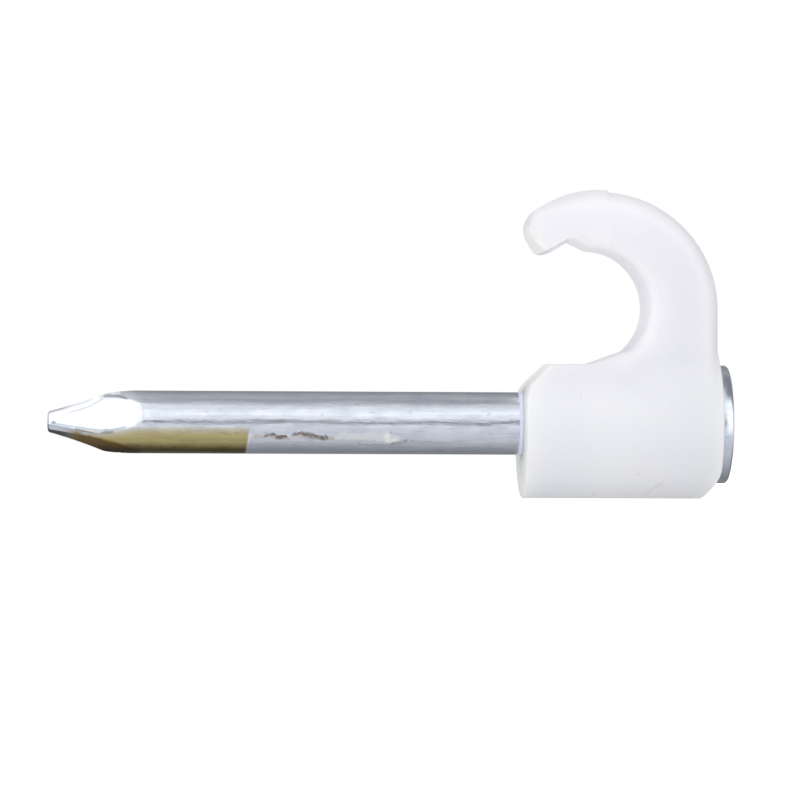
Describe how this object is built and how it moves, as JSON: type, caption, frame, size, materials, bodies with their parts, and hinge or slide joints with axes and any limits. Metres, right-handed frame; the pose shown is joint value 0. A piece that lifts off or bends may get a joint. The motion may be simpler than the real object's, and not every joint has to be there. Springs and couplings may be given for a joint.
{
  "type": "nail in cable clip",
  "caption": "Moulded plastic hook on a round boss, with a plated steel nail through the boss, that holds one round cable against a wall.",
  "frame": {"origin": "on the nail's axis, in the plane of the wall that the boss's flat end face stands on", "axes": "+X out of the wall along the nail, towards its head; +Z from the boss to the hook; +Y across the clip's width"},
  "size_m": [0.025, 0.0054, 0.0113],
  "materials": {
    "white_plastic": "satin white moulded plastic, slightly translucent",
    "zinc_plated_steel": "zinc plated, with drawn streaks and a yellowed patch near the point"
  },
  "bodies": {
    "root": {"clip_body": "white_plastic", "nail": "zinc_plated_steel"}
  },
  "joints": []
}
